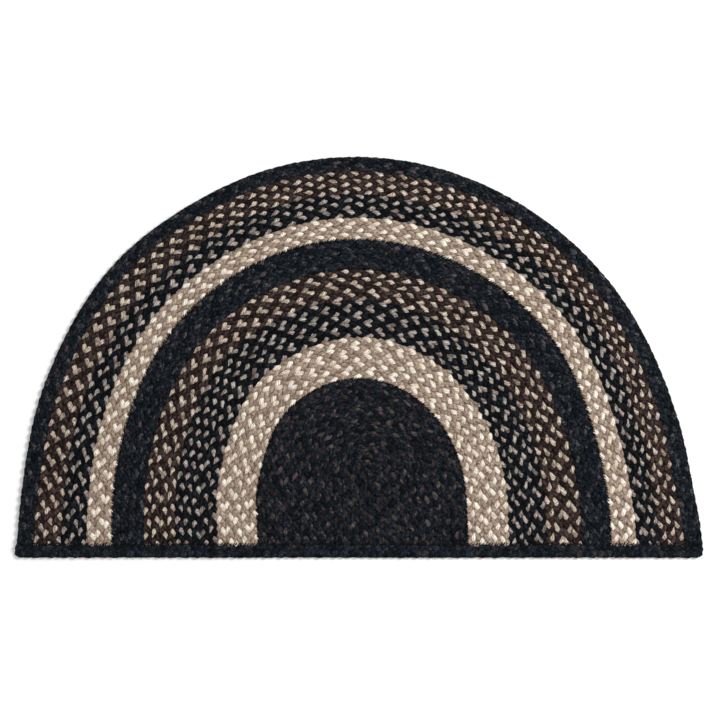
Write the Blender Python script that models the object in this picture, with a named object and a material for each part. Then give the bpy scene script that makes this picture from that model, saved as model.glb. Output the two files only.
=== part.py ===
"""A half-round braided rug, lying flat, in metres with +Z up.

Plaited courses are sewn side by side: a straight spine stands on the cut edge, and every further
course goes round it as an arch with two feet on that edge. One wider plait binds the feet.

+X runs along the straight edge, +Y towards the crown of the arches. The origin is on the floor,
under the middle of the rug's bounding box. Each course is a closed strip with six sides: it is
flat above and below, and widest at half its height, so the sewn seams show as grooves.
"""

import math
from collections import namedtuple

import bmesh
import bpy
import numpy as np

# Overall size of the rug
RUG_WIDTH = 0.914
RUG_DEPTH = 0.5313
BRAID_THICKNESS = 0.008
BINDING_WIDTH = 0.0153
SEAM_GAP = 0.0003

# The spine, which the arches go round
SPINE_X = 0.0065
SPINE_WIDTH = 0.0111
SPINE_LENGTH = 0.1064

# Shape of the arches: straight legs, which are shorter further out, under an elliptical top
LEG_AT_SPINE = 0.104
LEG_FADES_OVER = 0.273
CROWN_LEAN = -0.0066
LEAN_FULL_AT = 0.139
FOOT_FLARE = 0.0045
FLARE_POWER = 4
ARC_STEPS = 22

# Cross-section of a course: share of its width that the flat top and underside leave at each side
SHOULDER = 0.2

# The rounded ends of the binding
BINDING_CORNER = 0.0095
CORNER_STEPS = 3

BAND_COLUMNS = "name courses at_left_foot at_crown at_right_foot finish"
Band = namedtuple("Band", BAND_COLUMNS)
# From the spine outwards: the number of courses and the band's width at three places
BANDS = (
    Band("centre", 12, 0.1351, 0.1160, 0.1330, "navy"),
    Band("inner_cream", 5, 0.0539, 0.0551, 0.0549, "cream"),
    Band("inner_black", 5, 0.0549, 0.0489, 0.0492, "black_tan"),
    Band("inner_brown", 4, 0.0426, 0.0414, 0.0465, "brown_tan"),
    Band("dark", 4, 0.0419, 0.0390, 0.0379, "navy"),
    Band("outer_cream", 3, 0.0339, 0.0291, 0.0328, "cream"),
    Band("outer_black", 3, 0.0319, 0.0309, 0.0286, "black_tan"),
    Band("outer_brown", 3, 0.0359, 0.0309, 0.0319, "brown_tan"),
    Band("rim", 2, 0.0214, 0.0185, 0.0228, "navy"),
)

Swell = namedtuple("Swell", "at reach outward size")
# Where the courses stand out or fall in: the place round the arch and its reach, as shares of the
# way from the left foot to the right one, the place outward from the spine as a share, and how far
SWELLS = (
    Swell(0.10, 0.09, 0.30, -0.0050),
    Swell(0.27, 0.08, 0.50, 0.0050),
    Swell(0.77, 0.10, 0.78, 0.0066),
    Swell(0.25, 0.07, 1.00, 0.0028),
    Swell(0.34, 0.06, 1.00, -0.0022),
    Swell(0.88, 0.07, 1.00, -0.0024),
)
SWELL_SPREAD_OUTWARD = 0.2

Finish = namedtuple("Finish", "colour roughness")
FINISHES = {
    "navy": Finish((0.012, 0.014, 0.019), 0.92),
    "brown_tan": Finish((0.070, 0.050, 0.038), 0.92),
    "black_tan": Finish((0.045, 0.042, 0.040), 0.92),
    "cream": Finish((0.420, 0.345, 0.275), 0.92),
}

Seam = namedtuple("Seam", "left right crown")

FEET_Y = -RUG_DEPTH / 2 + BINDING_WIDTH


def clear_scene():
    """Remove every object that the file opened with."""
    for thing in list(bpy.data.objects):
        bpy.data.objects.remove(thing, do_unlink=True)


def seams():
    """The seam lines from the spine outwards, with the band that each course lies in."""
    edge = Seam(SPINE_WIDTH / 2, SPINE_WIDTH / 2, SPINE_LENGTH)
    lines = [edge]
    bands = []
    for band in BANDS:
        for _ in range(band.courses):
            edge = Seam(
                edge.left + band.at_left_foot / band.courses,
                edge.right + band.at_right_foot / band.courses,
                edge.crown + band.at_crown / band.courses,
            )
            lines.append(edge)
            bands.append(band)
    return lines, bands


def swell(place, share):
    """How far a seam stands out at a place round the arch, at a share of the way outward."""
    total = 0.0
    for row in SWELLS:
        round_the_arch = (place - row.at) / row.reach
        outward = (share - row.outward) / SWELL_SPREAD_OUTWARD
        total += row.size * math.exp(-(round_the_arch**2) - outward**2)
    return total


def seam_points(edge, widest):
    """Plan points of one seam line, from the left foot over the crown to the right foot."""
    half = (edge.left + edge.right) / 2
    middle = SPINE_X + (edge.right - edge.left) / 2
    leg = LEG_AT_SPINE * math.exp(-half / LEG_FADES_OVER)
    share = half / widest
    furthest_lean = CROWN_LEAN * min(half / LEAN_FULL_AT, 1.0)
    angles = [math.pi * i / ARC_STEPS for i in range(ARC_STEPS + 1)]
    stations = [(0.0, 0.0)] + [(angle, leg) for angle in angles] + [(math.pi, 0.0)]
    points = []
    for angle, foot in stations:
        out = half + swell(angle / math.pi, share)
        rise = edge.crown - leg + swell(angle / math.pi, share)
        if foot == 0.0:
            out += FOOT_FLARE * share**FLARE_POWER
        height = foot + rise * math.sin(angle)
        lean = furthest_lean * math.sin(math.pi / 2 * min(height / edge.crown, 1.0))
        points.append((middle + lean - out * math.cos(angle), FEET_Y + height))
    return np.array(points)


def moved_aside(points, distance):
    """The same line moved to its left by a distance, with the corners mitred."""
    steps = np.diff(points, axis=0)
    steps /= np.linalg.norm(steps, axis=1)[:, None]
    sides = np.column_stack([-steps[:, 1], steps[:, 0]])
    before = np.vstack([sides[:1], sides])
    after = np.vstack([sides, sides[-1:]])
    mitre = before + after
    mitre /= (mitre * after).sum(1)[:, None]
    return points + mitre * distance


def cut_at_feet(points, level):
    """The line with both ends brought onto one level of Y, along its first and last steps."""
    cut = points.copy()
    for end, inner in ((0, 1), (-1, -2)):
        share = (level - points[inner, 1]) / (points[end, 1] - points[inner, 1])
        cut[end] = points[inner] + (points[end] - points[inner]) * share
    return cut


def braid_between(name, one_side, other_side, finish):
    """A closed six-sided strip between two plan lines with the same number of points."""
    across = (SHOULDER, 0.0, SHOULDER, 1 - SHOULDER, 1.0, 1 - SHOULDER)
    up = (0.0, 0.5, 1.0, 1.0, 0.5, 0.0)
    mesh = bmesh.new()
    rings = []
    for near, far in zip(one_side, other_side):
        ring = []
        for share, level in zip(across, up):
            x, y = near + (far - near) * share
            ring.append(mesh.verts.new((x, y, level * BRAID_THICKNESS)))
        rings.append(ring)
    for ring, following in zip(rings, rings[1:]):
        for i in range(len(across)):
            j = (i + 1) % len(across)
            mesh.faces.new((ring[i], ring[j], following[j], following[i]))
    mesh.faces.new(rings[0][::-1])
    mesh.faces.new(rings[-1])
    bmesh.ops.recalc_face_normals(mesh, faces=mesh.faces)
    data = bpy.data.meshes.new(name)
    mesh.to_mesh(data)
    mesh.free()
    data.materials.append(bpy.data.materials[finish])
    braid = bpy.data.objects.new(name, data)
    bpy.context.scene.collection.objects.link(braid)
    return braid


def make_finishes():
    """One plain material for each colour of yarn."""
    for name, finish in FINISHES.items():
        material = bpy.data.materials.new(name)
        material.use_nodes = True
        shader = material.node_tree.nodes["Principled BSDF"]
        shader.inputs["Base Color"].default_value = (*finish.colour, 1.0)
        shader.inputs["Roughness"].default_value = finish.roughness
        shader.inputs["Metallic"].default_value = 0.0


def make_spine(edge, widest):
    """The straight plait in the middle, with a round top inside the first arch."""
    wall = moved_aside(seam_points(edge, widest), -SEAM_GAP / 2)
    wall = cut_at_feet(wall, FEET_Y + SEAM_GAP / 2)
    half = len(wall) // 2
    braid_between("spine_braid", wall[:half], wall[::-1][:half], "navy")


def make_courses(lines, bands, widest):
    """One arch for each course, between two neighbouring seam lines."""
    number = {band.name: 0 for band in BANDS}
    for inside, outside, band in zip(lines, lines[1:], bands):
        number[band.name] += 1
        inner = moved_aside(seam_points(inside, widest), SEAM_GAP / 2)
        outer = moved_aside(seam_points(outside, widest), -SEAM_GAP / 2)
        inner = cut_at_feet(inner, FEET_Y + SEAM_GAP / 2)
        outer = cut_at_feet(outer, FEET_Y + SEAM_GAP / 2)
        braid_between(f"{band.name}_course_{number[band.name]:02d}", inner, outer, band.finish)


def make_binding():
    """The plait along the cut edge, with rounded corners at both ends."""
    seam = FEET_Y - SEAM_GAP / 2
    centre_x = RUG_WIDTH / 2 - BINDING_CORNER
    centre_y = -RUG_DEPTH / 2 + BINDING_CORNER
    corner = []
    for i in range(CORNER_STEPS + 1):
        turn = math.pi / 2 * i / CORNER_STEPS
        x = centre_x + BINDING_CORNER * math.cos(turn)
        corner.append((x, centre_y - BINDING_CORNER * math.sin(turn)))
    free_edge = [(-x, y) for x, y in corner] + corner[::-1]
    sewn_edge = [(x, seam) for x, _ in free_edge]
    braid_between("binding_braid", np.array(free_edge), np.array(sewn_edge), "navy")


def main():
    clear_scene()
    make_finishes()
    lines, bands = seams()
    widest = (lines[-1].left + lines[-1].right) / 2
    make_spine(lines[0], widest)
    make_courses(lines, bands, widest)
    make_binding()


main()
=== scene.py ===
"""A half-round braided rug on a pale floor, seen from straight above, in metres with +Z up.

Every course of the rug is a plait of three strands of yarn, sewn side by side with a lacing thread.
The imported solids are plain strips. Here each strip is replaced by its three strands, which cross
over and under each other between two seam lines, and are dyed as the rug's bands are.
"""

import logging
import math
from dataclasses import dataclass, field
from enum import Enum
from typing import Iterator, Sequence, Union

import bpy
import numpy as np
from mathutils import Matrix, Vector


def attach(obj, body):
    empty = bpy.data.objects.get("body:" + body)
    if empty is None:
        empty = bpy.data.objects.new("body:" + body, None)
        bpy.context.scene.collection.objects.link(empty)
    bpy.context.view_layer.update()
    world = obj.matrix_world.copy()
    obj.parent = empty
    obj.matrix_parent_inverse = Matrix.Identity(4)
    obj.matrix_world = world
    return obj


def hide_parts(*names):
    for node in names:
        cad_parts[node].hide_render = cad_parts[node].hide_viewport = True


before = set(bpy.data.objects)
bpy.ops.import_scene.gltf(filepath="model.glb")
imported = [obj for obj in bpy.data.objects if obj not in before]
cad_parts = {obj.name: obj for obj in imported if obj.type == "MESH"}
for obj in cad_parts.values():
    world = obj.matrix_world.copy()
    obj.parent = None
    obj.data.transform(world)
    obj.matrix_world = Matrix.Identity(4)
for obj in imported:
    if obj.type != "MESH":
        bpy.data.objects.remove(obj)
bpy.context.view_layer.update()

log = logging.getLogger("braided_rug")

Colour = tuple[float, float, float]
Value = Union["Socket", float, tuple[float, ...]]

BODY = "root"
# How many swings each wave of the slow noise makes while the first one makes one
NOISE_RATIOS = (1.0, 1.7, 2.9)


class Yarn(Enum):
    """The dyed yarns of the rug."""

    NAVY = "navy_yarn"
    CHARCOAL = "charcoal_yarn"
    SLATE = "slate_yarn"
    BROWN = "brown_yarn"
    BLACK = "black_yarn"
    TAN = "tan_yarn"
    PALE_TAN = "pale_tan_yarn"
    TAUPE = "taupe_yarn"
    CREAM = "cream_yarn"
    LACING = "lacing_thread"


class Slot(Enum):
    """The record's material slots."""

    NAVY = "navy_yarn"
    BROWN_TAN = "brown_tan_yarn"
    BLACK_TAN = "black_tan_yarn"
    TAUPE_CREAM = "taupe_cream_yarn"


class Mix(Enum):
    """Ways in which two colours are mixed."""

    PLAIN = "MIX"
    MULTIPLY = "MULTIPLY"


class Socket:
    """A node's output. Arithmetic on it adds Math nodes to its graph."""

    def __init__(self, graph: "Graph", plug: bpy.types.NodeSocket) -> None:
        """Wrap one output.

        Args:
            graph: the graph that the output's node is in.
            plug: the output.
        """
        self.graph = graph
        self.plug = plug

    def maths(self, operation: str, *values: Value) -> "Socket":
        """Add a Math node.

        Args:
            operation: the node's operation.
            values: its inputs, in order.

        Returns:
            The node's output.
        """
        return self.graph.add("ShaderNodeMath", {"operation": operation}, *values)

    def __add__(self, other: Value) -> "Socket":
        """This plus another value."""
        return self.maths("ADD", self, other)

    def __sub__(self, other: Value) -> "Socket":
        """This less another value."""
        return self.maths("SUBTRACT", self, other)

    def __rsub__(self, other: Value) -> "Socket":
        """Another value less this."""
        return self.maths("SUBTRACT", other, self)

    def __mul__(self, other: Value) -> "Socket":
        """This times another value."""
        return self.maths("MULTIPLY", self, other)

    def __rmul__(self, other: Value) -> "Socket":
        """Another value times this."""
        return self.maths("MULTIPLY", other, self)

    def __pow__(self, other: Value) -> "Socket":
        """This to the power of another value."""
        return self.maths("POWER", self, other)

    def floor(self) -> "Socket":
        """The whole number at or below this."""
        return self.maths("FLOOR", self)

    def fraction(self) -> "Socket":
        """What this is above its whole number."""
        return self.maths("FRACT", self)

    def absolute(self) -> "Socket":
        """This without its sign."""
        return self.maths("ABSOLUTE", self)

    def remainder(self, size: float) -> "Socket":
        """What is left of this after whole steps of a size."""
        return self.maths("FLOORED_MODULO", self, size)

    def sine(self) -> "Socket":
        """The sine of this angle."""
        return self.maths("SINE", self)

    def cosine(self) -> "Socket":
        """The cosine of this angle."""
        return self.maths("COSINE", self)


class Graph:
    """The nodes of one material, with its Principled shader."""

    def __init__(self, name: str) -> None:
        """Make the material.

        Args:
            name: the material's name.
        """
        self.material = bpy.data.materials.new(name)
        self.material.use_nodes = True
        self.tree = self.material.node_tree
        self.shader = self.tree.nodes["Principled BSDF"]

    def add(
        self,
        kind: str,
        settings: dict[str, object],
        *values: Value,
        output: Union[int, str] = 0,
        **named: Value,
    ) -> Socket:
        """Add a node of any type.

        Args:
            kind: the node's type.
            settings: what is set on the node first. A ramp's stops are pairs of place and colour.
            values: what goes to the first inputs, in order.
            output: the output that is wanted, by number or name.
            named: what goes to other inputs, by name, with _ for a space.

        Returns:
            The output.
        """
        node = self.tree.nodes.new(kind)
        for key, setting in settings.items():
            if key == "stops":
                self._set_stops(node.color_ramp, setting)
            else:
                setattr(node, key, setting)
        for socket, value in zip(node.inputs, values):
            self.feed(socket, value)
        for key, value in named.items():
            self.feed(node.inputs[key.replace("_", " ")], value)
        return Socket(self, node.outputs[output])

    @staticmethod
    def _set_stops(ramp: bpy.types.ColorRamp, stops: Sequence[tuple[float, Colour]]) -> None:
        """Give a colour ramp its stops.

        Args:
            ramp: the ramp.
            stops: pairs of place and colour, at least two, from low to high.
        """
        while len(ramp.elements) < len(stops):
            ramp.elements.new(1.0)
        for element, (place, colour) in zip(ramp.elements, stops):
            element.position = place
            element.color = (*colour, 1.0)

    def feed(self, socket: bpy.types.NodeSocket, value: Value) -> None:
        """Link a value to an input, or set the input to it.

        Args:
            socket: the input.
            value: another node's output, a number, or a colour or vector.
        """
        if isinstance(value, Socket):
            self.tree.links.new(value.plug, socket)
        elif isinstance(value, tuple) and len(value) < len(socket.default_value):
            socket.default_value = (*value, 1.0)
        else:
            socket.default_value = value

    def mix(self, share: Value, one: Value, other: Value, way: Mix = Mix.PLAIN) -> Socket:
        """Mix two colours.

        Args:
            share: how much of the other colour there is, from 0 to 1.
            one: the first colour.
            other: the other colour.
            way: how the two are mixed.

        Returns:
            The mixed colour.
        """
        settings = {"data_type": "RGBA", "blend_type": way.value}
        mixed = self.add("ShaderNodeMix", settings, share, output=2)
        node = mixed.plug.node
        self.feed(node.inputs[6], one)
        self.feed(node.inputs[7], other)
        return mixed


@dataclass(frozen=True)
class StrandPlace:
    """Where a point of the surface is on its strand, in the graph of the strand's material.

    The place along it is in metres, the number is the strand's own, and the turn is the angle round
    it, which follows the twist of the plies.
    """

    graph: Graph
    along: Socket
    number: Socket
    turn: Socket

    def noise(self, length: Socket, size: float, **named: Value) -> Socket:
        """A noise that is seamless round the strand.

        Args:
            length: the place along the noise.
            size: how much of the noise lies round the strand.
            named: what goes to the noise's other inputs.

        Returns:
            A value from 0 to 1.
        """
        round_x, round_y = self.turn.cosine() * size, self.turn.sine() * size
        place = self.graph.add("ShaderNodeCombineXYZ", {}, length, round_x, round_y)
        return self.graph.add("ShaderNodeTexNoise", {}, Vector=place, Scale=1.0, **named)


@dataclass(frozen=True)
class YarnFinish:
    """The look of one dyed yarn: a bundle of loosely twisted plies, which hold stray fibres.

    The ramp of tints runs along a strand, so that one loop of it differs from the next. The casts
    turn some plies to one hue and others to another. Painted shade darkens the grooves between the
    plies, the pits between the fibres and a strand's sides where they turn down, and a painted
    highlight lightens its fibres.
    """

    BROWN_OR_BLUE = (
        (0.36, (1.0, 0.74, 0.64)),
        (0.50, (0.86, 0.88, 0.89)),
        (0.64, (0.58, 0.86, 1.0)),
    )
    MAUVE_OR_OLIVE = (
        (0.36, (1.0, 0.69, 0.75)),
        (0.50, (0.93, 0.90, 0.95)),
        (0.64, (0.86, 0.96, 0.70)),
    )
    PINK_OR_YELLOW = ((0.36, (1.0, 0.87, 0.91)), (0.50, (1.0, 1.0, 1.0)), (0.64, (0.98, 1.0, 0.82)))
    ROSE_OR_GREEN = ((0.36, (1.0, 0.80, 0.79)), (0.50, (1.0, 1.0, 1.0)), (0.64, (0.91, 1.0, 0.90)))

    # How far one strand's part of a noise lies from the next one's, and one ply's from the next
    STREAKS_APART = 7.31
    PITS_APART = 3.17
    TINTS_APART = 3.7
    PLY_TINTS_APART = 5.3
    PLY_CASTS_APART = 0.4
    # Where in the noise the tints of the plies and the casts begin
    PLY_TINTS_AT = 40.0
    CASTS_AT = 90.0

    name: str
    tints: tuple[tuple[float, Colour], ...]
    # The fibres' painted highlight: its colour, how much of it shows, and how sharply it follows
    # the streaks
    fibre_highlight: Colour
    fibre_highlight_share: float = 0.4
    fibre_highlight_power: float = 1.5
    fibre_height: float = 0.6
    # Painted shade in the grooves between the plies: how dark it is, and the streak value at which
    # fibres fill it away. The grooves' shape also sets the bump
    groove_shade: float = 0.85
    groove_power: float = 4.0
    grooves_filled_at: float = 1.2
    roughness: float = 0.92
    specular: float = 0.04
    plies_round: int = 7
    twist_per_metre: float = 24.0
    loops_per_metre: float = 62.0
    plies_per_metre: float = 190.0
    loop_share: float = 0.6
    ply_share: float = 0.9
    casts: tuple[tuple[float, Colour], ...] = BROWN_OR_BLUE
    casts_per_metre: float = 230.0
    cast_share: float = 0.8
    # How dark the painted shade is where a strand's sides turn down into the plait
    side_shade: float = 0.5
    side_power: float = 1.5
    streaks_per_metre: float = 300.0
    streaks_round: float = 2.8
    # Painted shade in the pits between the fibres: how dark the deepest is and what tint it has
    pit_shade_share: float = 0.55
    pit_shade_tint: Colour = (1.0, 1.0, 1.0)
    pits_per_metre: float = 430.0
    pits_round: float = 2.2
    pits_between: tuple[float, float] = (0.34, 0.47)
    bump_height: float = 0.0007

    def dress(self) -> bpy.types.Material:
        """Make the material.

        Returns:
            The material.
        """
        graph = Graph(self.name)
        place = graph.add("ShaderNodeUVMap", {"uv_map": StrandMesh.YARN_MAP})
        along = graph.add("ShaderNodeSeparateXYZ", {}, place, output="X")
        strand = graph.add("ShaderNodeSeparateXYZ", {}, place, output="Y")
        turns = strand.fraction() + along * self.twist_per_metre
        ply = turns * float(self.plies_round)
        at = StrandPlace(graph, along, strand.floor(), turns * (2 * math.pi))
        streaks = self._streaks(at)
        groove = ((ply.fraction() - 0.5).absolute() * 2.0) ** self.groove_power
        tint = self._tint(at, ply.floor())
        # Painted highlight: a lighter colour mixed into the fibres where the streaks are high
        highlighted = graph.mix((streaks ** self.fibre_highlight_power) * self.fibre_highlight_share, tint, self.fibre_highlight)
        # Painted shade where the strand's sides turn down into the plait
        upright = (strand.fraction() * (2 * math.pi)).sine().absolute()
        side = 1.0 - self.side_shade * ((1.0 - upright) ** self.side_power)
        # Painted shade in the grooves between the plies, less where the fibres fill them, times the
        # painted shade of the sides
        shade = (1.0 - self.groove_shade * groove * (self.grooves_filled_at - streaks)) * side
        shaded = graph.mix(1.0, highlighted, self._grey(graph, shade), Mix.MULTIPLY)
        # Painted shade in the pits between the fibres
        colour = graph.mix(1.0, shaded, self._pit_shade(at), Mix.MULTIPLY)
        graph.feed(graph.shader.inputs["Base Color"], colour)
        height = streaks * self.fibre_height - groove
        bump = graph.add(
            "ShaderNodeBump", {}, Strength=1.0, Distance=self.bump_height, Height=height
        )
        graph.feed(graph.shader.inputs["Normal"], bump)
        graph.shader.inputs["Roughness"].default_value = self.roughness
        graph.shader.inputs["Specular IOR Level"].default_value = self.specular
        return graph.material

    def _streaks(self, at: StrandPlace) -> Socket:
        """Fine fibres, long in the strand's direction.

        Args:
            at: the place on the strand.

        Returns:
            A value from 0 to 1.
        """
        length = at.along * self.streaks_per_metre + at.number * self.STREAKS_APART
        return at.noise(length, self.streaks_round, Detail=3.0, Roughness=0.6)

    def _pit_shade(self, at: StrandPlace) -> Socket:
        """Painted shade in the small pits between the fibres.

        Args:
            at: the place on the strand.

        Returns:
            What the colour is multiplied by.
        """
        length = at.along * self.pits_per_metre + at.number * self.PITS_APART
        noise = at.noise(length, self.pits_round, Detail=2.0)
        deepest = tuple((1.0 - self.pit_shade_share) * part for part in self.pit_shade_tint)
        pit, level = self.pits_between
        stops = ((pit, deepest), (level, (1.0, 1.0, 1.0)))
        return at.graph.add("ShaderNodeValToRGB", {"stops": stops}, noise)

    def _tint(self, at: StrandPlace, ply: Socket) -> Socket:
        """The dye, which changes from loop to loop along a strand, and from ply to ply.

        Args:
            at: the place on the strand.
            ply: the ply's number.

        Returns:
            A colour.
        """
        graph = at.graph
        own = ply.remainder(float(self.plies_round))
        by_loop = at.along * self.loops_per_metre
        by_ply = at.along * self.plies_per_metre
        by_cast = at.along * self.casts_per_metre
        strand_tints = at.number * self.TINTS_APART
        ply_tints = own * self.PLY_TINTS_APART + self.PLY_TINTS_AT
        ply_casts = own * self.PLY_CASTS_APART + self.CASTS_AT
        loops = graph.add("ShaderNodeCombineXYZ", {}, by_loop, strand_tints, 0.0)
        plies = graph.add("ShaderNodeCombineXYZ", {}, by_ply, strand_tints, ply_tints)
        others = graph.add("ShaderNodeCombineXYZ", {}, by_cast, strand_tints, ply_casts)
        loop = graph.add("ShaderNodeTexNoise", {}, Vector=loops, Scale=1.0, Detail=0.0)
        each = graph.add("ShaderNodeTexNoise", {}, Vector=plies, Scale=1.0, Detail=1.0)
        hue = graph.add("ShaderNodeTexNoise", {}, Vector=others, Scale=1.0, Detail=1.0)
        dye = (loop - 0.5) * self.loop_share + (each - 0.5) * self.ply_share + 0.5
        tint = graph.add("ShaderNodeValToRGB", {"stops": self.tints}, dye)
        cast = graph.add("ShaderNodeValToRGB", {"stops": self.casts}, hue)
        return graph.mix(self.cast_share, tint, cast, Mix.MULTIPLY)

    @staticmethod
    def _grey(graph: Graph, value: Socket) -> Socket:
        """The same value in all three channels of a colour."""
        return graph.add("ShaderNodeCombineColor", {}, value, value, value)


FINISHES = {
    Yarn.NAVY: YarnFinish(
        "navy_yarn",
        (
            (0.30, (0.0016, 0.0031, 0.0048)),
            (0.46, (0.0067, 0.0107, 0.0154)),
            (0.60, (0.0186, 0.0228, 0.0304)),
            (0.74, (0.0440, 0.0440, 0.0510)),
        ),
        (0.060, 0.062, 0.074),
        fibre_highlight_share=0.15,
        plies_per_metre=420.0,
        ply_share=1.05,
        casts_per_metre=320.0,
    ),
    Yarn.CHARCOAL: YarnFinish(
        "charcoal_yarn",
        (
            (0.30, (0.0048, 0.0068, 0.0092)),
            (0.44, (0.0180, 0.0182, 0.0216)),
            (0.56, (0.0410, 0.0358, 0.0392)),
            (0.70, (0.1100, 0.0935, 0.0925)),
        ),
        (0.130, 0.112, 0.112),
        fibre_highlight_share=0.15,
        plies_per_metre=230.0,
        casts=YarnFinish.MAUVE_OR_OLIVE,
        casts_per_metre=80.0,
    ),
    Yarn.SLATE: YarnFinish(
        "slate_yarn",
        (
            (0.30, (0.0022, 0.0050, 0.0070)),
            (0.46, (0.0110, 0.0160, 0.0212)),
            (0.58, (0.0350, 0.0395, 0.0475)),
            (0.72, (0.1000, 0.0965, 0.1030)),
        ),
        (0.080, 0.084, 0.096),
        fibre_highlight_share=0.15,
        plies_per_metre=440.0,
        ply_share=1.05,
        casts=YarnFinish.MAUVE_OR_OLIVE,
        casts_per_metre=200.0,
    ),
    Yarn.BROWN: YarnFinish(
        "brown_yarn",
        (
            (0.30, (0.0060, 0.0040, 0.0048)),
            (0.48, (0.0242, 0.0156, 0.0156)),
            (0.68, (0.0850, 0.0585, 0.0530)),
        ),
        (0.125, 0.094, 0.084),
        fibre_highlight_share=0.22,
        plies_per_metre=300.0,
        casts=YarnFinish.ROSE_OR_GREEN,
        side_shade=0.85,
        side_power=1.1,
    ),
    Yarn.BLACK: YarnFinish(
        "black_yarn",
        (
            (0.30, (0.0012, 0.0020, 0.0034)),
            (0.50, (0.0048, 0.0074, 0.0098)),
            (0.70, (0.0230, 0.0250, 0.0280)),
        ),
        (0.050, 0.050, 0.056),
        fibre_highlight_share=0.18,
        plies_per_metre=300.0,
    ),
    Yarn.TAN: YarnFinish(
        "tan_yarn",
        (
            (0.30, (0.160, 0.108, 0.076)),
            (0.46, (0.450, 0.355, 0.280)),
            (0.66, (0.740, 0.640, 0.540)),
        ),
        (0.86, 0.79, 0.70),
        groove_shade=0.95,
        casts=YarnFinish.PINK_OR_YELLOW,
        casts_per_metre=62.0,
        side_shade=0.9,
        side_power=1.2,
        pit_shade_share=0.62,
        pit_shade_tint=(1.0, 0.72, 0.56),
    ),
    Yarn.PALE_TAN: YarnFinish(
        "pale_tan_yarn",
        (
            (0.30, (0.092, 0.070, 0.062)),
            (0.46, (0.278, 0.234, 0.214)),
            (0.66, (0.565, 0.508, 0.470)),
        ),
        (0.65, 0.60, 0.56),
        groove_shade=0.95,
        casts=YarnFinish.ROSE_OR_GREEN,
        casts_per_metre=80.0,
        side_shade=0.9,
        side_power=1.2,
        pit_shade_share=0.62,
        pit_shade_tint=(1.0, 0.70, 0.56),
    ),
    Yarn.TAUPE: YarnFinish(
        "taupe_yarn",
        (
            (0.30, (0.155, 0.105, 0.079)),
            (0.48, (0.322, 0.240, 0.186)),
            (0.68, (0.500, 0.396, 0.318)),
        ),
        (0.62, 0.51, 0.41),
        groove_shade=0.45,
        side_shade=0.38,
        plies_per_metre=330.0,
        loop_share=0.35,
        casts=YarnFinish.PINK_OR_YELLOW,
        cast_share=0.6,
    ),
    Yarn.CREAM: YarnFinish(
        "cream_yarn",
        (
            (0.30, (0.620, 0.490, 0.355)),
            (0.46, (0.850, 0.740, 0.610)),
            (0.64, (0.980, 0.900, 0.790)),
        ),
        (0.98, 0.93, 0.85),
        groove_shade=0.6,
        casts=YarnFinish.PINK_OR_YELLOW,
        casts_per_metre=62.0,
        cast_share=0.3,
        pit_shade_share=0.4,
        pit_shade_tint=(1.0, 0.92, 0.84),
    ),
    Yarn.LACING: YarnFinish(
        "lacing_thread",
        ((0.30, (0.0040, 0.0055, 0.0075)), (0.70, (0.0120, 0.0130, 0.0160))),
        (0.050, 0.050, 0.055),
        fibre_highlight_share=0.2,
        plies_round=3,
        twist_per_metre=180.0,
        bump_height=0.0002,
    ),
}


@dataclass(frozen=True)
class Seam:
    """Where a seam line stands: its feet from the spine's middle, and its crown from the feet."""

    left: float
    right: float
    crown: float


@dataclass(frozen=True)
class Swell:
    """A place round the arches where the courses stand out or fall in, as shares, and how far.

    The spread is how far from that place it goes outward and inward, also as a share.
    """

    at: float
    reach: float
    outward: float
    size: float
    spread: float = 0.2


@dataclass(frozen=True)
class Accent:
    """How a plait's accent strand differs: its thickness as a share, and how much lower it lies."""

    size: float = 1.0
    low: float = 0.0


@dataclass(frozen=True)
class Band:
    """Neighbouring courses of one colour, with the band's width at three places.

    The yarns are the three strands of each plait, the last one the accent. The period is the length
    of one whole turn of the plait.
    """

    name: str
    courses: int
    at_left_foot: float
    at_crown: float
    at_right_foot: float
    slot: Slot
    yarns: tuple[Yarn, Yarn, Yarn]
    accent: Accent
    period: float


DARK_PLAIT = (Yarn.NAVY, Yarn.CHARCOAL, Yarn.NAVY)
EDGE_PLAIT = (Yarn.NAVY, Yarn.SLATE, Yarn.NAVY)
BINDING_PLAIT = (Yarn.NAVY, Yarn.NAVY, Yarn.NAVY)
BROWN_PLAIT = (Yarn.BROWN, Yarn.BROWN, Yarn.TAN)
BLACK_PLAIT = (Yarn.BLACK, Yarn.BLACK, Yarn.PALE_TAN)
CREAM_PLAIT = (Yarn.TAUPE, Yarn.TAUPE, Yarn.CREAM)
LEVEL = Accent()
FULL = Accent(size=1.06, low=0.0004)
SUNK = Accent(size=1.07, low=0.0012)


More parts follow.
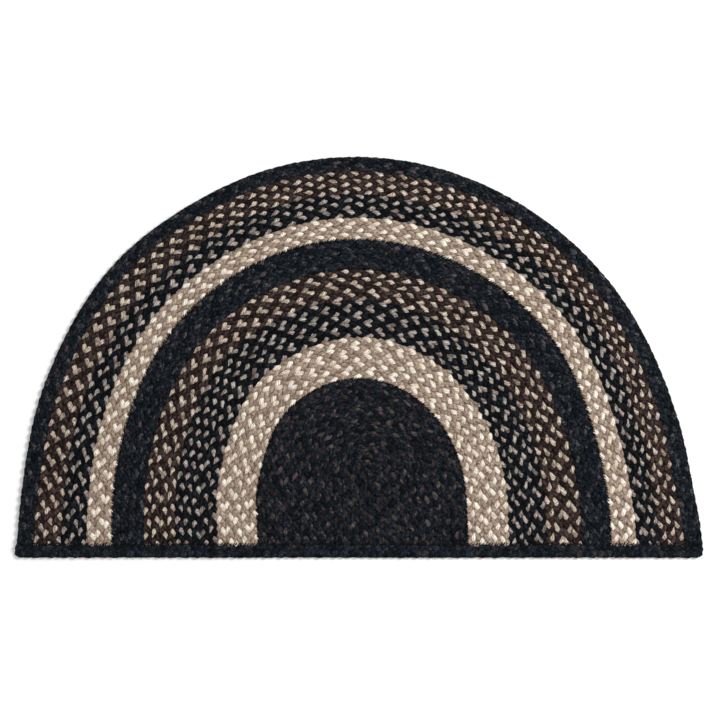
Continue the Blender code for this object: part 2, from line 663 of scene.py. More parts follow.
@dataclass(frozen=True)
class RugPlan:
    """The rug's sizes and the lines of its seams.

    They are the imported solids' own, but for the feet's flare and the last nine swells. As in the
    photo, those set the seams up to 3.4 mm beside the solids', and up to 5 mm by the right foot.
    """

    width: float = 0.914
    depth: float = 0.5313
    thickness: float = 0.008
    binding_width: float = 0.0153
    binding_corner: float = 0.0095
    seam_gap: float = 0.0003
    spine_x: float = 0.0065
    spine_width: float = 0.0111
    spine_length: float = 0.1064
    leg_at_spine: float = 0.104
    leg_fades_over: float = 0.273
    crown_lean: float = -0.0066
    lean_full_at: float = 0.139
    foot_flares: tuple[float, float] = (0.0027, 0.0022)
    flare_power: int = 4
    foot_tuck: float = 0.0015
    arc_steps: int = 440
    swells: tuple[Swell, ...] = (
        Swell(0.10, 0.09, 0.30, -0.0050),
        Swell(0.27, 0.08, 0.50, 0.0050),
        Swell(0.77, 0.10, 0.78, 0.0066),
        Swell(0.25, 0.07, 1.00, 0.0028),
        Swell(0.34, 0.06, 1.00, -0.0022),
        Swell(0.88, 0.07, 1.00, -0.0024),
        Swell(0.055, 0.045, 1.00, -0.0026),
        Swell(0.15, 0.07, 1.00, -0.0014),
        Swell(0.66, 0.16, 1.00, 0.0014),
        Swell(0.945, 0.02, 1.00, -0.0012),
        Swell(0.00, 0.018, 1.00, 0.0018),
        Swell(1.00, 0.018, 1.00, 0.0048),
        Swell(0.28, 0.12, 0.36, -0.0034, spread=0.15),
        Swell(0.07, 0.10, 0.74, -0.0022, spread=0.12),
        Swell(0.91, 0.06, 0.79, -0.0018, spread=0.12),
    )
    bands: tuple[Band, ...] = (
        Band("centre", 12, 0.1351, 0.1160, 0.1330, Slot.NAVY, DARK_PLAIT, LEVEL, 0.0318),
        Band("inner_cream", 5, 0.0539, 0.0551, 0.0549, Slot.TAUPE_CREAM, CREAM_PLAIT, FULL, 0.0316),
        Band("inner_black", 5, 0.0549, 0.0489, 0.0492, Slot.BLACK_TAN, BLACK_PLAIT, SUNK, 0.0303),
        Band("inner_brown", 4, 0.0426, 0.0414, 0.0465, Slot.BROWN_TAN, BROWN_PLAIT, SUNK, 0.0330),
        Band("dark", 4, 0.0419, 0.0390, 0.0379, Slot.NAVY, EDGE_PLAIT, LEVEL, 0.0336),
        Band("outer_cream", 3, 0.0339, 0.0291, 0.0328, Slot.TAUPE_CREAM, CREAM_PLAIT, FULL, 0.0322),
        Band("outer_black", 3, 0.0319, 0.0309, 0.0286, Slot.BLACK_TAN, BLACK_PLAIT, SUNK, 0.0325),
        Band("outer_brown", 3, 0.0359, 0.0309, 0.0319, Slot.BROWN_TAN, BROWN_PLAIT, SUNK, 0.0315),
        Band("rim", 2, 0.0214, 0.0185, 0.0228, Slot.NAVY, EDGE_PLAIT, LEVEL, 0.0347),
    )

    @property
    def feet_y(self) -> float:
        """Where the courses' feet meet the binding."""
        return self.binding_width - self.depth / 2

    @property
    def first_seam(self) -> Seam:
        """The seam line round the spine."""
        return Seam(self.spine_width / 2, self.spine_width / 2, self.spine_length)

    def courses(self) -> Iterator[tuple[Band, int, Seam, Seam]]:
        """The arched courses from the spine outwards.

        Yields:
            The band, the course's number in it from 1, and its inner and outer seam.
        """
        inner = self.first_seam
        for band in self.bands:
            for number in range(1, band.courses + 1):
                outer = Seam(
                    inner.left + band.at_left_foot / band.courses,
                    inner.right + band.at_right_foot / band.courses,
                    inner.crown + band.at_crown / band.courses,
                )
                yield band, number, inner, outer
                inner = outer

    @property
    def crown(self) -> float:
        """How far the outermost seam line stands above the feet."""
        *_, last = self.courses()
        return last[3].crown

    @property
    def widest(self) -> float:
        """Half the width of the outermost seam line at its feet."""
        *_, last = self.courses()
        return (last[3].left + last[3].right) / 2

    def swell(self, place: np.ndarray, share: float) -> np.ndarray:
        """How far a seam stands out.

        Args:
            place: places round the arch, as shares of the way.
            share: the seam's place outward from the spine, as a share.

        Returns:
            A distance for each place.
        """
        total = np.zeros_like(place)
        for row in self.swells:
            outward = (share - row.outward) / row.spread
            total += row.size * np.exp(-(((place - row.at) / row.reach) ** 2) - outward**2)
        return total

    def seam_line(self, edge: Seam) -> np.ndarray:
        """One seam line in plan, from the left foot over the crown to the right foot.

        Both ends run on a little under the binding.

        Args:
            edge: the seam.

        Returns:
            An array of points, two numbers each.
        """
        half = (edge.left + edge.right) / 2
        middle = self.spine_x + (edge.right - edge.left) / 2
        leg = self.leg_at_spine * math.exp(-half / self.leg_fades_over)
        share = half / self.widest
        lean_here = self.crown_lean * min(half / self.lean_full_at, 1.0)
        arc = np.linspace(0.0, math.pi, self.arc_steps + 1)
        angle = np.concatenate([[0.0], arc, [math.pi]])
        foot = np.concatenate([[-self.foot_tuck], np.full_like(arc, leg), [-self.foot_tuck]])
        stands_out = self.swell(angle / math.pi, share)
        out = half + stands_out
        out[[0, -1]] += np.array(self.foot_flares) * share**self.flare_power
        height = foot + (edge.crown - leg + stands_out) * np.sin(angle)
        lean = lean_here * np.sin(np.pi / 2 * np.minimum(height / edge.crown, 1.0))
        return np.column_stack([middle + lean - out * np.cos(angle), self.feet_y + height])


def resampled(line: np.ndarray, places: np.ndarray, steps: np.ndarray) -> np.ndarray:
    """Points of a line at other places along it.

    Args:
        line: the line's points.
        places: the place of each of those points.
        steps: the places that are wanted.

    Returns:
        An array with a point for each wanted place.
    """
    return np.column_stack([np.interp(steps, places, column) for column in line.T])


def lengths_along(line: np.ndarray) -> np.ndarray:
    """The distance along a line at each of its points, from 0."""
    steps = np.linalg.norm(np.diff(line, axis=0), axis=1)
    return np.concatenate([[0.0], np.cumsum(steps)])


def slow_noise(seed: int, places: np.ndarray, wavelength: float) -> np.ndarray:
    """Smooth unevenness along a line, mostly between -1 and 1.

    Args:
        seed: what tells one unevenness from another.
        places: the distances along the line.
        wavelength: about how far one swing is from the next.

    Returns:
        A value for each place.
    """
    random = np.random.default_rng(seed)
    total = np.zeros_like(places)
    for ratio in NOISE_RATIOS:
        turn = random.uniform(0, 2 * math.pi)
        total += np.sin(2 * math.pi * ratio * places / wavelength + turn) / (1 + ratio)
    return total


@dataclass
class StrandMesh:
    """Closed tubes of yarn gathered into one mesh, with the yarn's coordinates on every face.

    On the bake's map a tube lies in one or more cells, one above the other. Each cell has a margin
    round it, and CAP_SHARE of its length is kept for the tube's two ends, which lie in the first.
    """

    YARN_MAP = "yarn"
    BAKE_MAP = "OFBake"
    # A side stops just short, so that the last one doesn't reach the next strand's number
    SIDE_SHARE = 0.999
    CAP_SHARE = 0.06
    CAP_RADIUS_ALONG = 0.4
    CAP_RADIUS_ACROSS = 0.2
    CAP_YARN_RADIUS = (0.001, 0.2)
    MARGIN_ALONG = 0.01
    MARGIN_ACROSS = 0.04

    name: str
    sides: int = 8
    roundness: float = 0.85
    girth: float = 0.016
    points: list[np.ndarray] = field(default_factory=list)
    tubes: list[tuple[int, np.ndarray, int]] = field(default_factory=list)

    def add(
        self,
        path: np.ndarray,
        half_width: np.ndarray,
        half_height: np.ndarray,
        slot: int,
        strand: int,
    ) -> None:
        """Sweep an oval along a path and close both ends.

        Args:
            path: the middle of the strand, three numbers for each ring.
            half_width: half the oval's width at each ring.
            half_height: half its height at each ring.
            slot: the number of its material on the piece.
            strand: the strand's own number, which sets its dye apart.
        """
        ahead = np.gradient(path, axis=0)
        ahead /= np.linalg.norm(ahead, axis=1)[:, None]
        aside = np.cross((0.0, 0.0, 1.0), ahead)
        aside /= np.linalg.norm(aside, axis=1)[:, None]
        up = np.cross(ahead, aside)
        turn = 2 * math.pi * np.arange(self.sides) / self.sides
        across = np.sign(np.cos(turn)) * np.abs(np.cos(turn)) ** self.roundness
        upward = np.sign(np.sin(turn)) * np.abs(np.sin(turn)) ** self.roundness
        rings = (
            path[:, None]
            + aside[:, None] * (half_width[:, None] * across)[..., None]
            + up[:, None] * (half_height[:, None] * upward)[..., None]
        )
        self.points.append(rings.reshape(-1, 3))
        self.tubes.append((slot, lengths_along(path), strand))

    def build(self, finishes: Sequence[bpy.types.Material]) -> bpy.types.Object:
        """Make the object.

        Args:
            finishes: the materials of the piece's slots, in order.

        Returns:
            The object, linked to the scene.
        """
        quads, caps, slots = [], [], []
        yarn_uv, bake_uv = [], []
        start = 0
        for row, (slot, lengths, strand) in enumerate(self.tubes):
            rings = len(lengths)
            ring = start + self.sides * np.arange(rings - 1)[:, None]
            following = ring + self.sides
            side = np.arange(self.sides)[None]
            after = (side + 1) % self.sides
            quad = [ring + side, ring + after, following + after, following + side]
            quads.append(np.stack(quad, axis=-1).reshape(-1, 4))
            last = start + self.sides * (rings - 1)
            caps.append(np.arange(start, start + self.sides)[::-1])
            caps.append(np.arange(last, last + self.sides))
            slots.append(np.full((rings - 1) * self.sides, slot))
            yarn_uv.append(self._yarn_places(lengths, strand))
            bake_uv.append(self._bake_places(row, rings))
            start += self.sides * rings
        return self._assemble(quads, caps, slots, yarn_uv, bake_uv, finishes)

    def _yarn_places(self, lengths: np.ndarray, strand: int) -> np.ndarray:
        """For each face corner, metres along the tube, and its number plus the share round it.

        Args:
            lengths: the distance along the tube at each ring.
            strand: the strand's own number.

        Returns:
            Two numbers for each of four corners of each face.
        """
        low = np.arange(self.sides) / self.sides
        high = low + self.SIDE_SHARE / self.sides
        here, there = lengths[:-1, None], lengths[1:, None]
        corners = [(here, low), (here, high), (there, high), (there, low)]
        places = [np.stack(np.broadcast_arrays(a, strand + b), axis=-1) for a, b in corners]
        return np.stack(places, axis=2).reshape(-1, 4, 2)

    def _bake_places(self, row: int, rings: int) -> np.ndarray:
        """For each corner of a tube's faces, its place on the map that a bake fills.

        Args:
            row: the tube's number in the mesh.
            rings: how many rings it has.

        Returns:
            Two numbers for each of four corners of each face.
        """
        columns, lines_each, lines = self._layout()
        each = math.ceil((rings - 1) / lines_each)
        number = np.arange(rings - 1)
        line = row // columns * lines_each + number // each
        length = 1 - 2 * self.MARGIN_ALONG - self.CAP_SHARE
        height = 1 - 2 * self.MARGIN_ACROSS
        left = (row % columns + self.MARGIN_ALONG + number % each / each * length) / columns
        right = left + length / each / columns
        low = self.MARGIN_ACROSS + height * np.arange(self.sides) / self.sides
        low = (line[:, None] + low) / lines
        high = low + height / self.sides / lines
        left, right = left[:, None], right[:, None]
        corners = [(left, low), (left, high), (right, high), (right, low)]
        places = [np.stack(np.broadcast_arrays(a, b), axis=-1) for a, b in corners]
        return np.stack(places, axis=2).reshape(-1, 4, 2)

    def _layout(self) -> tuple[int, int, int]:
        """How the tubes lie on the bake's map, so that their faces keep about their shape.

        Returns:
            How many tubes lie side by side, over how many lines each one runs, and how many
            lines there are.
        """
        longest = max(lengths[-1] for _, lengths, _ in self.tubes)
        spread = longest / (self.girth * len(self.tubes))
        columns = max(1, round(1 / math.sqrt(spread)))
        lines_each = max(1, round(math.sqrt(spread)))
        return columns, lines_each, math.ceil(len(self.tubes) / columns) * lines_each

    def _assemble(
        self,
        quads: list[np.ndarray],
        caps: list[np.ndarray],
        slots: list[np.ndarray],
        yarn_uv: list[np.ndarray],
        bake_uv: list[np.ndarray],
        finishes: Sequence[bpy.types.Material],
    ) -> bpy.types.Object:
        """Write the arrays into a mesh.

        Args:
            quads: the four corners of every side face.
            caps: the corners of every end face.
            slots: the material slot of every side face.
            yarn_uv: the yarn's coordinates at the corners of the side faces.
            bake_uv: the bake's coordinates at the corners of the side faces.
            finishes: the materials of the slots.

        Returns:
            The object, linked to the scene.
        """
        side_faces = np.concatenate(quads)
        end_faces = np.array(caps)
        corners = np.concatenate([side_faces.ravel(), end_faces.ravel()])
        sizes = np.concatenate(
            [np.full(len(side_faces), 4), np.full(len(end_faces), self.sides)]
        )
        points = np.concatenate(self.points)
        points[:, 2] = np.maximum(points[:, 2], 0.0)
        mesh = bpy.data.meshes.new(self.name)
        mesh.vertices.add(len(points))
        mesh.vertices.foreach_set("co", points.astype(np.float32).ravel())
        mesh.loops.add(len(corners))
        mesh.loops.foreach_set("vertex_index", corners.astype(np.int32))
        mesh.polygons.add(len(sizes))
        starts = np.concatenate([[0], np.cumsum(sizes)[:-1]])
        mesh.polygons.foreach_set("loop_start", starts.astype(np.int32))
        for finish in finishes:
            mesh.materials.append(finish)
        cap_slots = np.repeat([slot for slot, _, _ in self.tubes], 2)
        worn = np.concatenate([*slots, cap_slots])
        mesh.polygons.foreach_set("material_index", worn.astype(np.int32))
        mesh.polygons.foreach_set("use_smooth", np.ones(len(sizes), bool))
        mesh.update(calc_edges=True)
        cap_yarn, cap_bake = self._cap_places()
        for name, sides, ends in (
            (self.YARN_MAP, yarn_uv, cap_yarn),
            (self.BAKE_MAP, bake_uv, cap_bake),
        ):
            layer = mesh.uv_layers.new(name=name)
            places = np.concatenate([np.concatenate(sides).reshape(-1, 2), ends])
            layer.uv.foreach_set("vector", places.astype(np.float32).ravel())
        mesh.validate()
        piece = bpy.data.objects.new(self.name, mesh)
        bpy.context.scene.collection.objects.link(piece)
        return piece

    def _cap_places(self) -> tuple[np.ndarray, np.ndarray]:
        """Where the corners of the end faces lie on both maps.

        Returns:
            The yarn's and the bake's coordinates, two numbers for each corner.
        """
        turn = 2 * math.pi * np.arange(self.sides) / self.sides
        circle = np.column_stack([np.cos(turn), np.sin(turn)])
        yarn, bake = [], []
        columns, lines_each, lines = self._layout()
        along = self.CAP_RADIUS_ALONG * self.CAP_SHARE / columns
        radius = (along, self.CAP_RADIUS_ACROSS / lines)
        for row, (_, lengths, strand) in enumerate(self.tubes):
            column = (row % columns + 1 - self.CAP_SHARE / 2) / columns
            for end in (0, 1):
                middle = (column, (row // columns * lines_each + 0.25 + 0.5 * end) / lines)
                bake.append(middle + circle * radius)
                yarn.append((lengths[-end], strand + 0.5) + circle * self.CAP_YARN_RADIUS)
        return np.concatenate(yarn), np.concatenate(bake)


@dataclass(frozen=True)
class Plait:
    """Three strands plaited between two seam lines, with their ends at the lines' ends.

    A strand swings from side to side once in a period, and rises and falls twice. It lies on top
    while it runs inward, and below while it runs outward, so the loops make a row of chevrons.
    Where in its turn a plait begins is chance, and so is how much of a turn it gains or loses on
    the way. Its loops reach past both lines, where they press into the neighbouring plaits'.
    """

    RINGS_PER_PERIOD = 14
    STRANDS = 3
    TURN_SEED = 11000
    PACE_SEEDS_APART = 7
    WIDTH_SEED = 3000
    WANDER_SEED = 5000
    LIFT_SEED = 9000
    FIRST_TURN = 0.875

    name: str
    inner: np.ndarray
    outer: np.ndarray
    thickness: float
    gap: float
    period: float
    number: int
    accent: Accent = Accent()
    half_width_share: float = 0.250
    edge_width_share: float = 0.200
    half_height_share: float = 0.25
    edge_height_share: float = 0.28
    end_rounding: float = 0.0016
    end_roundest: float = 0.97
    end_sinks_over: float = 0.004
    end_sink_power: float = 1.5
    end_sinks: float = 0.2
    end_flattens: float = 0.6
    square: float = 0.0
    loose: float = 0.0003
    turn_gained: float = 0.4
    uneven_turn: float = 0.03
    uneven_width: float = 0.13
    uneven_lift: float = 0.07
    turn_wave: float = 3.1
    width_wave: float = 0.6
    wander_wave: float = 0.9
    lift_wave: float = 1.3
    reach: float = 0.0012

    def strands(self) -> StrandMesh:
        """Lay the three strands.

        Returns:
            A mesh that isn't built yet, with the strands in their order.
        """
        middle = (self.inner + self.outer) / 2
        lengths = lengths_along(middle)
        rings = round(lengths[-1] / self.period * self.RINGS_PER_PERIOD) + 1
        steps = np.linspace(0.0, lengths[-1], rings)
        near = resampled(self.inner, lengths, steps)
        far = resampled(self.outer, lengths, steps)
        centre = (near + far) / 2
        width = np.linalg.norm(far - near, axis=1)
        aside = (far - near) / width[:, None]
        width = width - self.gap + 2 * self.reach
        mesh = StrandMesh(self.name)
        random = np.random.default_rng(self.TURN_SEED + self.number)
        start = random.uniform(0.0, 1.0)
        at_crown, at_end = random.uniform(-self.turn_gained, self.turn_gained, 2)
        pace_seed = self.PACE_SEEDS_APART * self.number + 1
        uneven = self.uneven_turn * slow_noise(pace_seed, steps, self.turn_wave * self.period)
        uneven += np.interp(steps / steps[-1], (0.0, 0.5, 1.0), (0.0, at_crown, at_end))
        for strand in range(self.STRANDS):
            share = (strand + 1) / self.STRANDS
            turns = steps / self.period + uneven + start + self.FIRST_TURN + share
            turn = 2 * math.pi * turns
            self._lay(mesh, strand, turn, steps, centre, aside, width)
        return mesh

    def _lay(
        self,
        mesh: StrandMesh,
        strand: int,
        turn: np.ndarray,
        steps: np.ndarray,
        centre: np.ndarray,
        aside: np.ndarray,
        width: np.ndarray,
    ) -> None:
        """Add one strand to the mesh.

        Args:
            mesh: what the strand is added to.
            strand: the strand's number, from 0.
            turn: the angle of its swing at each ring.
            steps: the distance along the plait at each ring.
            centre: the plait's middle line in plan.
            aside: the outward direction in plan.
            width: the plait's width.
        """
        own = self.STRANDS * self.number + strand
        turning = np.maximum(-np.cos(2 * turn), 0.0) ** 2
        half_width = width * (
            self.half_width_share + (self.edge_width_share - self.half_width_share) * turning
        )
        half_height = self.thickness * (
            self.half_height_share + (self.edge_height_share - self.half_height_share) * turning
        )
        kind = self.accent if strand == self.STRANDS - 1 else Accent()
        uneven = slow_noise(self.WIDTH_SEED + own, steps, self.width_wave * self.period)
        swelling = kind.size * (1 + self.uneven_width * uneven)
        swing = np.maximum(width * (0.5 - self.edge_width_share), 0.0)
        rise = self.thickness * (0.5 - self.half_height_share)
        wander = slow_noise(self.WANDER_SEED + own, steps, self.wander_wave * self.period)
        lift = slow_noise(self.LIFT_SEED + own, steps, self.lift_wave * self.period)
        side = np.sin(turn) * (1 + self.square * np.cos(turn) ** 2)
        plan = centre + aside * (swing * side + self.loose * wander)[:, None]
        from_end = np.minimum(steps - steps[0], steps[-1] - steps)
        sunk = np.clip(1 - from_end / self.end_sinks_over, 0.0, 1.0) ** self.end_sink_power
        rise *= (1.0 + self.uneven_lift * lift) * (1 - self.end_flattens * sunk)
        height = self.thickness / 2 * (1 - self.end_sinks * sunk)
        height -= rise * np.sin(2 * turn) + kind.low
        path = np.column_stack([plan, height])
        rounding = np.clip(1 - from_end / self.end_rounding, 0.0, self.end_roundest)
        full = np.sqrt(1 - rounding**2)
        mesh.add(path, half_width * swelling * full, half_height * full, strand, own)


@dataclass(frozen=True)
class Stitching:
    """A row of short stitches over one seam line.

    Each stitch comes up on the seam's near side, crosses it and dips into the plait beyond. RISE
    says how far it is from its crest at five points on that way.
    """

    RISE = (-0.0026, -0.0006, 0.0, -0.0006, -0.0028)
    LOOKS_AHEAD = 0.125

    line: np.ndarray
    pitch: float
    onto: float
    seed: int
    from_under: float = 0.0013
    out_of_seam: float = 0.0003
    dips_past: float = 0.0006
    pitch_jitter: float = 0.25
    shortest: float = 0.5
    longest: float = 1.3
    slant: float = 0.0014
    crest: float = 0.0079
    half_thickness: float = 0.0007

    def sew(self, mesh: StrandMesh) -> None:
        """Add the stitches to a mesh.

        Args:
            mesh: the lacing thread's mesh.
        """
        lengths = lengths_along(self.line)
        random = np.random.default_rng(self.seed)
        count = int(lengths[-1] / self.pitch) - 1
        jitter = random.uniform(-self.pitch_jitter, self.pitch_jitter, count)
        at = (np.arange(count) + 1 + jitter) * self.pitch
        place = resampled(self.line, lengths, at)
        ahead = resampled(self.line, lengths, at + self.LOOKS_AHEAD * self.pitch) - place
        ahead /= np.linalg.norm(ahead, axis=1)[:, None]
        aside = np.column_stack([-ahead[:, 1], ahead[:, 0]])
        height = self.crest + np.array(self.RISE)
        for i, onto in enumerate(self.onto * random.uniform(self.shortest, self.longest, count)):
            near = [-self.from_under, -self.out_of_seam]
            outward = np.array([*near, onto / 2, onto, onto + self.dips_past])
            forward = self.slant * outward / onto
            plan = place[i] + outward[:, None] * aside[i] + forward[:, None] * ahead[i]
            path = np.column_stack([plan, height])
            half = np.full(len(path), self.half_thickness)
            mesh.add(path, half, half, 0, len(mesh.tubes))


@dataclass(frozen=True)
class PlyEnds:
    """The cut ends of the plies, which stick out of the courses' feet over the binding.

    Each goes through three points: its root in the strand, one further out and its tip. OUT gives
    how far out the last two are and RISE how high the first two are, as shares of its length. LEAN
    and TAPER give each point's share of its lean and of its thickness. The ranges are shares of the
    strand's half size, or of the ply end's length.
    """

    OUT = (0.3, 1.0)
    LEAN = (0.0, 0.4, 1.0)
    RISE = (0.0, 0.15)
    TAPER = (1.0, 0.9, 0.35)
    # The rings of a strand that its ply ends come out of, counted from both its ends
    RINGS = (2, -3)

    at_each_strand: int = 3
    thickness: float = 0.00045
    height: float = 0.0074
    shortest: float = 0.0002
    longest: float = 0.0017
    rooted: float = 0.0010
    aside_range: tuple[float, float] = (-0.9, 0.9)
    height_range: tuple[float, float] = (-0.3, 0.2)
    lean_range: tuple[float, float] = (-0.5, 0.5)
    droop_range: tuple[float, float] = (-0.6, 0.1)

    def fray(self, plait: StrandMesh, ends: StrandMesh, feet_y: float, seed: int) -> None:
        """Add the ply ends of one course.

        Args:
            plait: the course's strands.
            ends: the mesh for the ply ends, with the same material slots.
            feet_y: where the binding begins.
            seed: what tells one course's ply ends from another's.
        """
        random = np.random.default_rng(seed)
        for points, (slot, _, strand) in zip(plait.points, plait.tubes):
            rings = points.reshape(-1, plait.sides, 3)
            for ring in rings[list(self.RINGS)]:
                middle = ring.mean(axis=0)
                half = (ring.max(axis=0) - ring.min(axis=0)) / 2
                for _ in range(self.at_each_strand):
                    x = middle[0] + half[0] * random.uniform(*self.aside_range)
                    z = self.height + half[2] * random.uniform(*self.height_range)
                    length = random.uniform(self.shortest, self.longest)
                    lean = random.uniform(*self.lean_range)
                    droop = random.uniform(*self.droop_range)
                    y = feet_y + np.array([self.rooted, *(-share * length for share in self.OUT)])
                    across = x + lean * length * np.array(self.LEAN)
                    up = z + length * np.array([*self.RISE, droop])
                    size = self.thickness * np.array(self.TAPER)
                    ends.add(np.column_stack([across, y, up]), size, size, slot, strand)


@dataclass
class Rug:
    """The plaits of the rug, built from its plan."""

    STITCHES_REACH = {"inner_cream": 0.0009, "outer_cream": 0.0016}

    plan: RugPlan
    finishes: dict[Yarn, bpy.types.Material]
    edge_width_share: float = 0.212
    rim: str = "rim"
    rim_edge_width_share: float = 0.245
    rim_holds_in: float = 0.0006
    square_loops: float = 0.75
    binding_period: float = 0.030
    binding_width_share: float = 0.275
    binding_edge_width_share: float = 0.260
    binding_overlaps: float = 0.0022
    binding_short: float = 0.001
    binding_points: int = 600
    stitch_pitch: float = 0.0036
    binding_stitch_pitch: float = 0.0040
    binding_stitch_reach: float = 0.0018
    binding_stitch_crest: float = 0.0083
    ply_ends_seed: int = 300

    @property
    def sewn_y(self) -> float:
        """Where the binding's plait ends, over the courses' feet."""
        return self.plan.feet_y + self.binding_overlaps

    def build(self) -> list[bpy.types.Object]:
        """Make every plait, its ply ends and the stitches.

        Returns:
            The pieces, with the plaits first, from the spine outwards.
        """
        pieces = [self.spine()]
        ends: dict[tuple[Yarn, ...], tuple[Slot, StrandMesh]] = {}
        for number, (band, place, inner, outer) in enumerate(self.plan.courses(), start=1):
            mesh = self.course(number, band, place, inner, outer)
            pieces.append(self.dress(mesh, band.yarns, band.slot, replaces=True))
            if band.yarns not in ends:
                name = f"ply_ends_{band.yarns[1].value}"
                ends[band.yarns] = (band.slot, StrandMesh(name, sides=4, girth=0.002))
            PlyEnds().fray(mesh, ends[band.yarns][1], self.sewn_y, self.ply_ends_seed + number)
        pieces.append(self.binding(len(pieces)))
        pieces += [self.dress(mesh, yarns, slot) for yarns, (slot, mesh) in ends.items()]
        pieces.append(self.dress(self.stitches(), [Yarn.LACING], Slot.NAVY))
        return pieces

    def dress(
        self, mesh: StrandMesh, yarns: Sequence[Yarn], slot: Slot, replaces: bool = False
    ) -> bpy.types.Object:
        """Build a mesh and give it its yarns.

        Args:
            mesh: the strands. A plait has the solid's name with "plait_" before it.
            yarns: the yarn of each strand.
            slot: the record's material slot, which is not used.
            replaces: whether the piece stands for the solid.

        Returns:
            The piece.
        """
        piece = mesh.build([self.finishes[yarn] for yarn in yarns])
        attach(piece, BODY)
        if replaces:
            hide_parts(mesh.name.removeprefix("plait_"))
        log.info("%s: %d faces", piece.name, len(piece.data.polygons))
        return piece

    def stitches(self) -> StrandMesh:
        """Sew the cream bands' inner seams and the binding's, where the thread shows.

        Returns:
            The lacing thread's mesh, not built yet.
        """
        mesh = StrandMesh("lacing_thread", sides=5, roundness=1.0, girth=0.003)
        for band, place, inner, _ in self.plan.courses():
            if place == 1 and band.name in self.STITCHES_REACH:
                onto = self.STITCHES_REACH[band.name]
                line = self.plan.seam_line(inner)
                Stitching(line, self.stitch_pitch, onto, len(mesh.tubes)).sew(mesh)
        half = self.plan.width / 2 - self.plan.binding_corner
        Stitching(
            np.array([(-half, self.sewn_y), (half, self.sewn_y)]),
            self.binding_stitch_pitch,
            self.binding_stitch_reach,
            len(mesh.tubes),
            crest=self.binding_stitch_crest,
        ).sew(mesh)
        return mesh

    def course(
        self, number: int, band: Band, place: int, inner: Seam, outer: Seam
    ) -> StrandMesh:
        """Lay the strands of one arched course.

        Args:
            number: the course's number from the spine.
            band: its band.
            place: its number in the band.
            inner: its inner seam.
            outer: its outer seam.

        Returns:
            Its mesh, not built yet.
        """
        near, far = self.plan.seam_line(inner), self.plan.seam_line(outer)
        if outer.crown >= self.plan.crown:
            across = far - near
            far -= across * (self.rim_holds_in / np.linalg.norm(across, axis=1))[:, None]
        in_rim = band.name == self.rim
        plait = Plait(
            f"plait_{band.name}_course_{place:02d}",
            near,
            far,
            self.plan.thickness,
            self.plan.seam_gap,
            band.period,
            number,
            band.accent,
            edge_width_share=self.rim_edge_width_share if in_rim else self.edge_width_share,
            square=self.square_loops if in_rim else 0.0,
        )
        return plait.strands()

    def spine(self) -> bpy.types.Object:
        """Make the straight plait in the middle, which ends under the first arch.

        Returns:
            The piece.
        """
        wall = self.plan.seam_line(self.plan.first_seam)
        half = len(wall) // 2
        plait = Plait(
            "plait_spine_braid",
            wall[::-1][:half],
            wall[:half],
            self.plan.thickness,
            self.plan.seam_gap,
            self.plan.bands[0].period,
            0,
        )
        return self.dress(plait.strands(), DARK_PLAIT, Slot.NAVY, replaces=True)

    def binding(self, number: int) -> bpy.types.Object:
        """Make the wider plait over the feet, with its rounded ends.

        Args:
            number: its number after the courses.

        Returns:
            The piece.
        """
        corner = self.plan.binding_corner
        half = self.plan.width / 2
        x = np.linspace(-half, half, self.binding_points)
        x *= 1 - 2 * self.binding_short / self.plan.width
        into_corner = np.clip((np.abs(x) - (half - corner)) / corner, 0.0, 1.0)
        free_y = -self.plan.depth / 2 + corner * (1 - np.sqrt(1 - into_corner**2))
        free_y += Plait.reach
        plait = Plait(
            "plait_binding_braid",
            np.column_stack([x, free_y]),
            np.column_stack([x, np.full_like(x, self.sewn_y)]),
            self.plan.thickness,
            0.0,
            self.binding_period,
            number,
            half_width_share=self.binding_width_share,
            edge_width_share=self.binding_edge_width_share,
            square=self.square_loops,
        )
        return self.dress(plait.strands(), BINDING_PLAIT, Slot.NAVY, replaces=True)


@dataclass(frozen=True)
class Lamp:
    """A square soft light that faces the rug, with its side in metres and its power in watts."""

    name: str
    place: tuple[float, float, float]
    side: float
    power: float

    def hang(self) -> None:
        """Add it to the scene."""
        light = bpy.data.lights.new(self.name, "AREA")
        light.size = self.side
        light.energy = self.power
        lamp = bpy.data.objects.new(self.name, light)
        lamp.location = self.place
        lamp.rotation_euler = Vector(self.place).to_track_quat("Z", "Y").to_euler()
        bpy.context.scene.collection.objects.link(lamp)


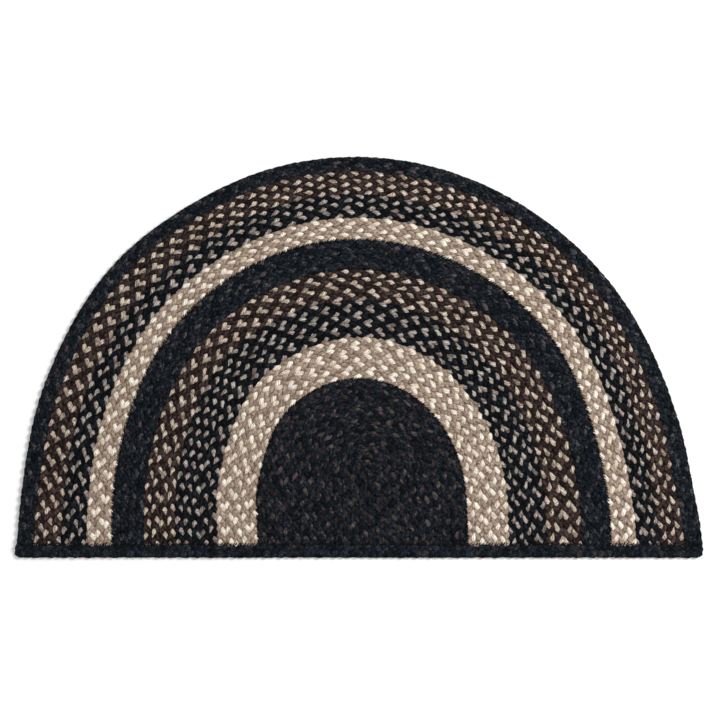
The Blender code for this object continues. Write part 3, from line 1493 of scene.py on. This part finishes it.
@dataclass(frozen=True)
class Studio:
    """The floor, the light and the camera."""

    aim: tuple[float, float] = (0.0017, -0.0031)
    camera_height: float = 4.0
    seen_width: float = 0.9573
    sensor: float = 36.0
    floor_size: float = 12.0
    floor_below: float = 0.0002
    floor_colour: Colour = (0.93, 0.93, 0.93)
    floor_roughness: float = 0.9
    floor_specular: float = 0.1
    room_light: float = 0.45
    lamps: tuple[Lamp, ...] = (
        Lamp("key_light", (1.7, 0.9, 2.2), 1.1, 78.0),
        Lamp("fill_light", (-1.6, -0.8, 2.8), 2.4, 26.0),
    )

    def build(self) -> None:
        """Set the stage."""
        self.floor()
        self.world()
        for lamp in self.lamps:
            lamp.hang()
        self.camera()

    def floor(self) -> None:
        """Lay a plain pale floor."""
        half = self.floor_size / 2
        mesh = bpy.data.meshes.new("floor")
        corners = [(-half, -half), (half, -half), (half, half), (-half, half)]
        mesh.from_pydata([(x, y, -self.floor_below) for x, y in corners], [], [(0, 1, 2, 3)])
        finish = bpy.data.materials.new("pale_floor")
        finish.use_nodes = True
        shader = finish.node_tree.nodes["Principled BSDF"]
        shader.inputs["Base Color"].default_value = (*self.floor_colour, 1.0)
        shader.inputs["Roughness"].default_value = self.floor_roughness
        shader.inputs["Specular IOR Level"].default_value = self.floor_specular
        mesh.materials.append(finish)
        floor = bpy.data.objects.new("floor", mesh)
        bpy.context.scene.collection.objects.link(floor)

    def world(self) -> None:
        """Fill the room with soft light."""
        world = bpy.data.worlds.new("soft_room")
        world.use_nodes = True
        sky = world.node_tree.nodes["Background"]
        sky.inputs["Color"].default_value = (1.0, 1.0, 1.0, 1.0)
        sky.inputs["Strength"].default_value = self.room_light
        bpy.context.scene.world = world
        bpy.context.scene.view_settings.view_transform = "Standard"

    def camera(self) -> None:
        """Look straight down, with the photo's frame."""
        lens = bpy.data.cameras.new("camera")
        lens.sensor_width = self.sensor
        lens.lens = self.camera_height * self.sensor / self.seen_width
        camera = bpy.data.objects.new("camera", lens)
        camera.location = (*self.aim, self.camera_height)
        bpy.context.scene.collection.objects.link(camera)
        bpy.context.scene.camera = camera


def main() -> None:
    """Build the rug and its stage."""
    logging.basicConfig(level=logging.INFO, format="%(name)s: %(message)s")
    finishes = {yarn: finish.dress() for yarn, finish in FINISHES.items()}
    pieces = Rug(RugPlan(), finishes).build()
    Studio().build()
    log.info("%d pieces", len(pieces))


if __name__ == "__main__":
    main()
